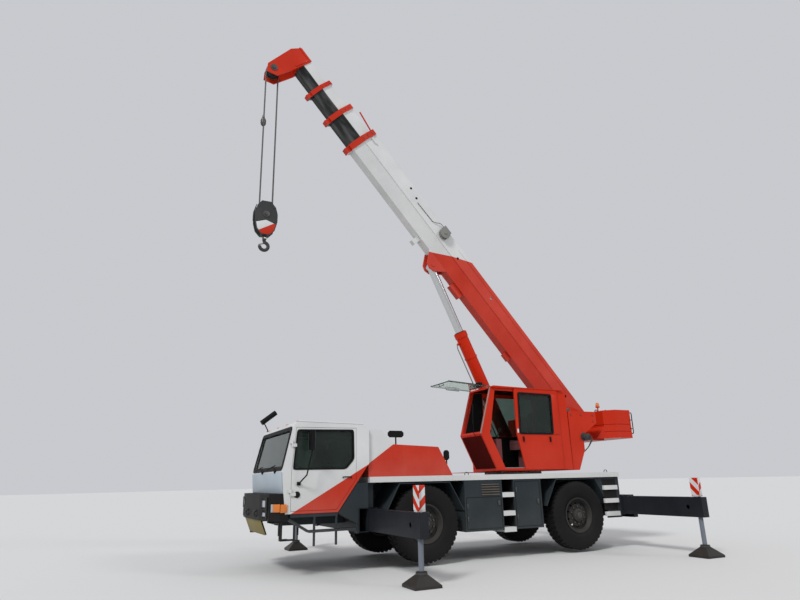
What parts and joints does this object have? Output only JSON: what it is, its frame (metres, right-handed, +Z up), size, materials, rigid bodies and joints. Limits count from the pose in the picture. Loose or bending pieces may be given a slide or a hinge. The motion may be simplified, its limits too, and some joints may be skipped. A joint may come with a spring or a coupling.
{
  "type": "two-axle mobile crane",
  "caption": "Two-axle mobile crane on outriggers: steered driven carrier, slewing platform with cab and counterweight, luffing telescopic boom and hook block.",
  "frame": {"origin": "on the ground, at the middle of the overall length and width, under the outrigger pads' plane", "axes": "+Z up, -Y the way the carrier faces, +X the crane's left side"},
  "size_m": [6.684, 8.8782, 11.3819],
  "materials": {
    "beacon_orange": "amber lens",
    "black_plastic": "matt black",
    "boom_white": "white paint, greased",
    "chassis_blue_grey": "blue-grey paint, satin",
    "chrome": "polished rod",
    "dark_steel": "dark grey paint",
    "glass": "greenish tinted glass",
    "jack_steel": "worn steel",
    "orange_paint": "orange-red paint",
    "rim_grey": "dark grey paint",
    "tyre": "worn black rubber",
    "white_paint": "white paint, satin",
    "wire_rope": "greased wire rope"
  },
  "bodies": {
    "carrier": {"chassis_frame": "chassis_blue_grey", "axles": "chassis_blue_grey", "deck": "white_paint", "carrier_cab": "white_paint", "cab_glass": "glass", "cab_interior": "black_plastic", "roof_mirror": "black_plastic", "bumper": "black_plastic", "engine_hood": "orange_paint", "engine_block": "dark_steel", "side_boxes": "chassis_blue_grey", "step_plates": "white_paint", "mudguards": "chassis_blue_grey", "outrigger_boxes": "chassis_blue_grey"},
    "knuckle_front_left": {"knuckle_front_left": "chassis_blue_grey"},
    "wheel_front_left": {"rim_front_left": "rim_grey", "tyre_front_left": "tyre"},
    "knuckle_front_right": {"knuckle_front_right": "chassis_blue_grey"},
    "wheel_front_right": {"rim_front_right": "rim_grey", "tyre_front_right": "tyre"},
    "knuckle_rear_left": {"knuckle_rear_left": "chassis_blue_grey"},
    "wheel_rear_left": {"rim_rear_left": "rim_grey", "tyre_rear_left": "tyre"},
    "knuckle_rear_right": {"knuckle_rear_right": "chassis_blue_grey"},
    "wheel_rear_right": {"rim_rear_right": "rim_grey", "tyre_rear_right": "tyre"},
    "door_left": {"cab_door_left": "white_paint", "door_glass_left": "glass", "door_mirror_left": "black_plastic"},
    "door_right": {"cab_door_right": "white_paint", "door_glass_right": "glass", "door_mirror_right": "black_plastic"},
    "beam_front_left": {"outrigger_beam_front_left": "chassis_blue_grey"},
    "leg_front_left": {"jack_front_left": "jack_steel"},
    "beam_front_right": {"outrigger_beam_front_right": "chassis_blue_grey"},
    "leg_front_right": {"jack_front_right": "jack_steel"},
    "beam_rear_left": {"outrigger_beam_rear_left": "chassis_blue_grey"},
    "leg_rear_left": {"jack_rear_left": "jack_steel"},
    "beam_rear_right": {"outrigger_beam_rear_right": "chassis_blue_grey"},
    "leg_rear_right": {"jack_rear_right": "jack_steel"},
    "platform": {"turntable_frame": "orange_paint", "counterweight": "orange_paint", "operator_cab": "orange_paint", "operator_glass": "glass", "operator_seat": "black_plastic", "beacon": "beacon_orange"},
    "roof_screen": {"roof_screen": "glass"},
    "sliding_door": {"sliding_door": "orange_paint", "sliding_door_glass": "glass"},
    "winch_drum": {"winch_drum": "dark_steel"},
    "boom": {"boom_base": "orange_paint"},
    "section_1": {"boom_section_1": "boom_white"},
    "section_2": {"boom_section_2": "boom_white"},
    "section_3": {"boom_section_3": "boom_white", "head_sheaves": "dark_steel"},
    "cylinder_barrel": {"luff_barrel": "orange_paint"},
    "cylinder_rod": {"luff_rod": "chrome"},
    "hoist_line": {"hoist_ropes": "wire_rope"},
    "hook_block": {"hook_block": "dark_steel"},
    "hook": {"crane_hook": "dark_steel"}
  },
  "joints": [
    {"name": "steer_front_left", "type": "hinge", "parent": "carrier", "child": "knuckle_front_left", "pos_m": [0.84, -1.21, 0.733], "axis": [0, 0, 1], "range_deg": [-30, 30]},
    {"name": "roll_front_left", "type": "hinge", "parent": "knuckle_front_left", "child": "wheel_front_left", "pos_m": [1.06, -1.21, 0.733], "axis": [1, 0, 0], "continuous": true},
    {"name": "steer_front_right", "type": "hinge", "parent": "carrier", "child": "knuckle_front_right", "pos_m": [-0.84, -1.21, 0.733], "axis": [0, 0, 1], "range_deg": [-30, 30]},
    {"name": "roll_front_right", "type": "hinge", "parent": "knuckle_front_right", "child": "wheel_front_right", "pos_m": [-1.06, -1.21, 0.733], "axis": [1, 0, 0], "continuous": true},
    {"name": "steer_rear_left", "type": "hinge", "parent": "carrier", "child": "knuckle_rear_left", "pos_m": [0.84, 2.43, 0.733], "axis": [0, 0, 1], "range_deg": [-30, 30]},
    {"name": "roll_rear_left", "type": "hinge", "parent": "knuckle_rear_left", "child": "wheel_rear_left", "pos_m": [1.06, 2.43, 0.733], "axis": [1, 0, 0], "continuous": true},
    {"name": "steer_rear_right", "type": "hinge", "parent": "carrier", "child": "knuckle_rear_right", "pos_m": [-0.84, 2.43, 0.733], "axis": [0, 0, 1], "range_deg": [-30, 30]},
    {"name": "roll_rear_right", "type": "hinge", "parent": "knuckle_rear_right", "child": "wheel_rear_right", "pos_m": [-1.06, 2.43, 0.733], "axis": [1, 0, 0], "continuous": true},
    {"name": "door_left", "type": "hinge", "parent": "carrier", "child": "door_left", "pos_m": [1.258, -3.81, 1.75], "axis": [0, 0, -1], "range_deg": [0, 70]},
    {"name": "door_right", "type": "hinge", "parent": "carrier", "child": "door_right", "pos_m": [-1.258, -3.81, 1.75], "axis": [0, 0, 1], "range_deg": [0, 70]},
    {"name": "beam_front_left", "type": "slide", "parent": "carrier", "child": "beam_front_left", "axis": [-1, 0, 0], "range_m": [0, 1.98]},
    {"name": "jack_front_left", "type": "slide", "parent": "beam_front_left", "child": "leg_front_left", "axis": [0, 0, 1], "range_m": [0, 0.42]},
    {"name": "beam_front_right", "type": "slide", "parent": "carrier", "child": "beam_front_right", "axis": [1, 0, 0], "range_m": [0, 1.98]},
    {"name": "jack_front_right", "type": "slide", "parent": "beam_front_right", "child": "leg_front_right", "axis": [0, 0, 1], "range_m": [0, 0.42]},
    {"name": "beam_rear_left", "type": "slide", "parent": "carrier", "child": "beam_rear_left", "axis": [-1, 0, 0], "range_m": [0, 1.98]},
    {"name": "jack_rear_left", "type": "slide", "parent": "beam_rear_left", "child": "leg_rear_left", "axis": [0, 0, 1], "range_m": [0, 0.42]},
    {"name": "beam_rear_right", "type": "slide", "parent": "carrier", "child": "beam_rear_right", "axis": [1, 0, 0], "range_m": [0, 1.98]},
    {"name": "jack_rear_right", "type": "slide", "parent": "beam_rear_right", "child": "leg_rear_right", "axis": [0, 0, 1], "range_m": [0, 0.42]},
    {"name": "slew", "type": "hinge", "parent": "carrier", "child": "platform", "pos_m": [0, 1.69, 1.64], "axis": [0, 0, 1], "continuous": true},
    {"name": "roof_screen", "type": "hinge", "parent": "platform", "child": "roof_screen", "pos_m": [0.77, 0.411, 3.378], "axis": [1, 0, 0], "range_deg": [0, 75]},
    {"name": "sliding_door", "type": "slide", "parent": "platform", "child": "sliding_door", "axis": [0, -1, 0], "range_m": [0, 0.65]},
    {"name": "winch_spin", "type": "hinge", "parent": "platform", "child": "winch_drum", "pos_m": [0, 2.99, 2.27], "axis": [1, 0, 0], "continuous": true},
    {"name": "luff", "type": "hinge", "parent": "platform", "child": "boom", "pos_m": [0, 3.167, 2.982], "axis": [-1, 0, 0], "range_deg": [-48, 31]},
    {"name": "telescope_1", "type": "slide", "parent": "boom", "child": "section_1", "axis": [0, -0.6521, 0.7581], "range_m": [-0.5, 5.2]},
    {"name": "telescope_2", "type": "slide", "parent": "section_1", "child": "section_2", "axis": [0, -0.6521, 0.7581], "range_m": [-0.5, 5.2]},
    {"name": "telescope_3", "type": "slide", "parent": "section_2", "child": "section_3", "axis": [0, -0.6521, 0.7581], "range_m": [-0.5, 5.2]},
    {"name": "rod_swing", "type": "hinge", "parent": "boom", "child": "cylinder_rod", "pos_m": [0, -0.24131, 6.38173], "axis": [-1, 0, 0], "range_deg": [-6, 6]},
    {"name": "barrel_slide", "type": "slide", "parent": "cylinder_rod", "child": "cylinder_barrel", "axis": [0, 0.4167, -0.9091], "range_m": [-1.5, 1]},
    {"name": "line_hang", "type": "hinge", "parent": "section_3", "child": "hoist_line", "pos_m": [0, -4.21317, 10.64213], "axis": [-1, 0, 0], "range_deg": [-32, 49]},
    {"name": "hoist", "type": "slide", "parent": "hoist_line", "child": "hook_block", "axis": [0, 0, 1], "range_m": [-4.8, 1.8], "deforming": ["hoist_ropes"]},
    {"name": "hook_swivel", "type": "hinge", "parent": "hook_block", "child": "hook", "pos_m": [0, -4.21317, 6.4], "axis": [0, 0, 1], "continuous": true}
  ],
  "couplings": [
    {"joint": "steer_front_right", "follows": "steer_front_left", "ratio": 1},
    {"joint": "steer_rear_right", "follows": "steer_rear_left", "ratio": 1},
    {"joint": "telescope_2", "follows": "telescope_1", "ratio": 1},
    {"joint": "telescope_3", "follows": "telescope_1", "ratio": 1},
    {"joint": "rod_swing", "follows": "luff", "ratio": 0.075},
    {"joint": "barrel_slide", "follows": "luff", "m_per_rad": 1.64},
    {"joint": "line_hang", "follows": "luff", "ratio": -1}
  ]
}
